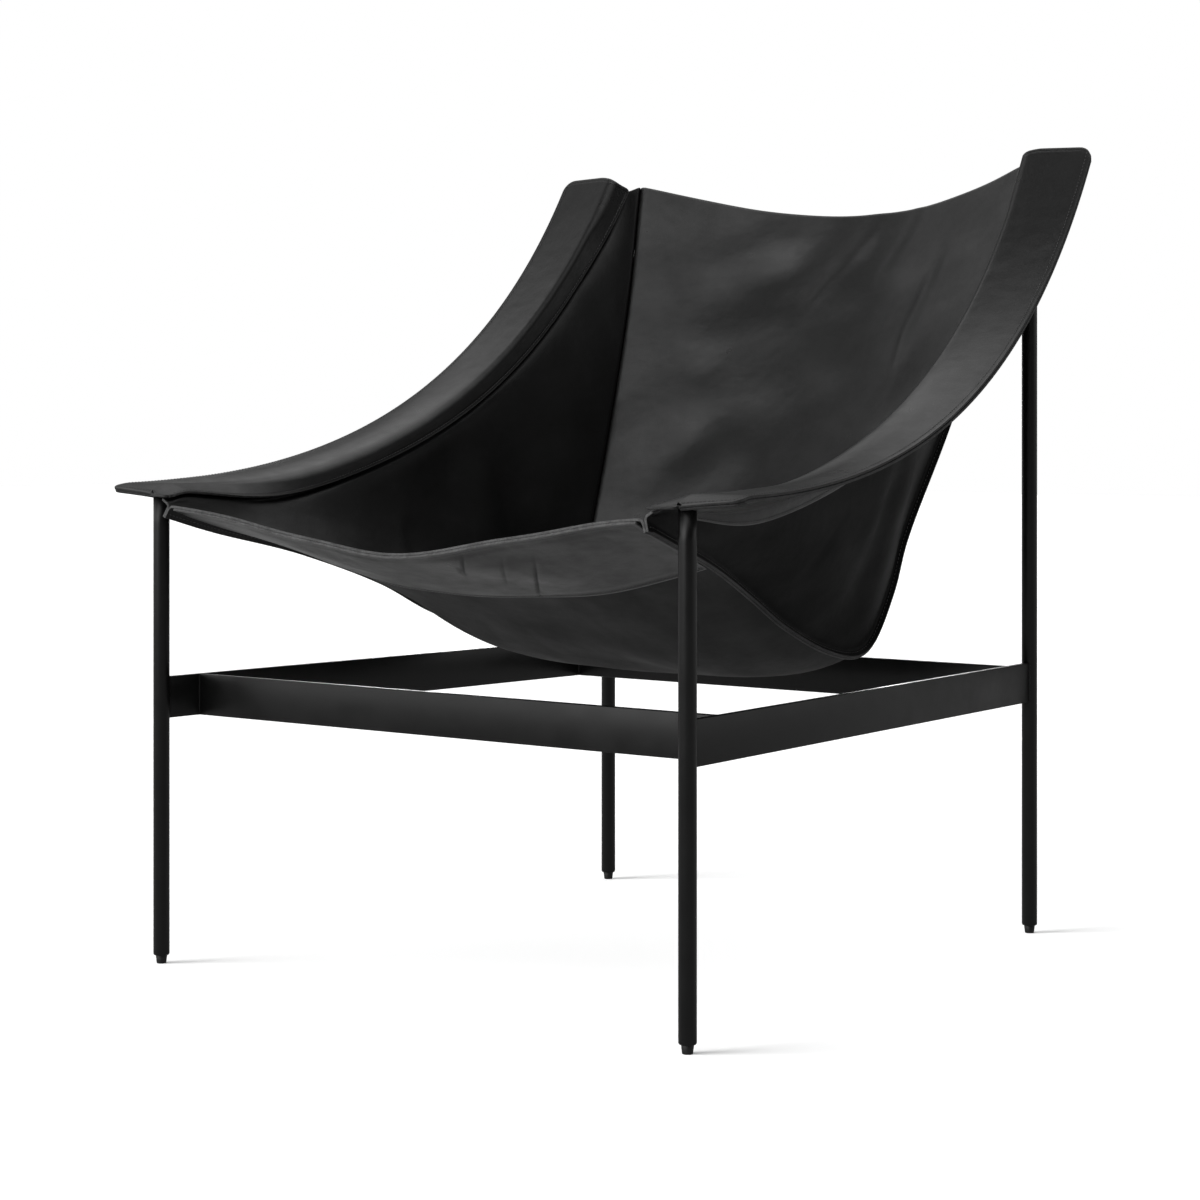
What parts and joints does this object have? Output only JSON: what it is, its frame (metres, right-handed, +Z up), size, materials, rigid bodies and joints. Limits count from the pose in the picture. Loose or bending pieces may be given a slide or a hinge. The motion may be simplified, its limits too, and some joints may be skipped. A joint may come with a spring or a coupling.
{
  "type": "sling lounge chair",
  "caption": "Low lounge chair: a sewn leather sling seat and back hangs from curved arm rods on a slim welded steel frame with flat rails and small foot glides.",
  "frame": {"origin": "on the floor under the middle of the chair's bounding box", "axes": "+Z up, +Y towards the back of the chair, +X to the right seen from the front"},
  "size_m": [0.7634, 0.8078, 0.8195],
  "materials": {
    "frame": "satin black powder coat",
    "glide": "matt black",
    "leather": "smooth black saddle leather, satin"
  },
  "bodies": {
    "root": {"front_leg_right": "frame", "front_leg_left": "frame", "rear_leg_right": "frame", "rear_leg_left": "frame", "front_glide_right": "glide", "front_glide_left": "glide", "rear_glide_right": "glide", "rear_glide_left": "glide", "side_rail_right": "frame", "side_rail_left": "frame", "front_rail": "frame", "rear_rail": "frame", "arm_rod_right": "frame", "arm_rod_left": "frame", "flap_top_right": "leather", "flap_top_left": "leather", "flap_under_right": "leather", "flap_under_left": "leather", "side_panel_right": "leather", "side_panel_left": "leather", "seat_and_back": "leather", "front_facing": "leather"}
  },
  "joints": []
}
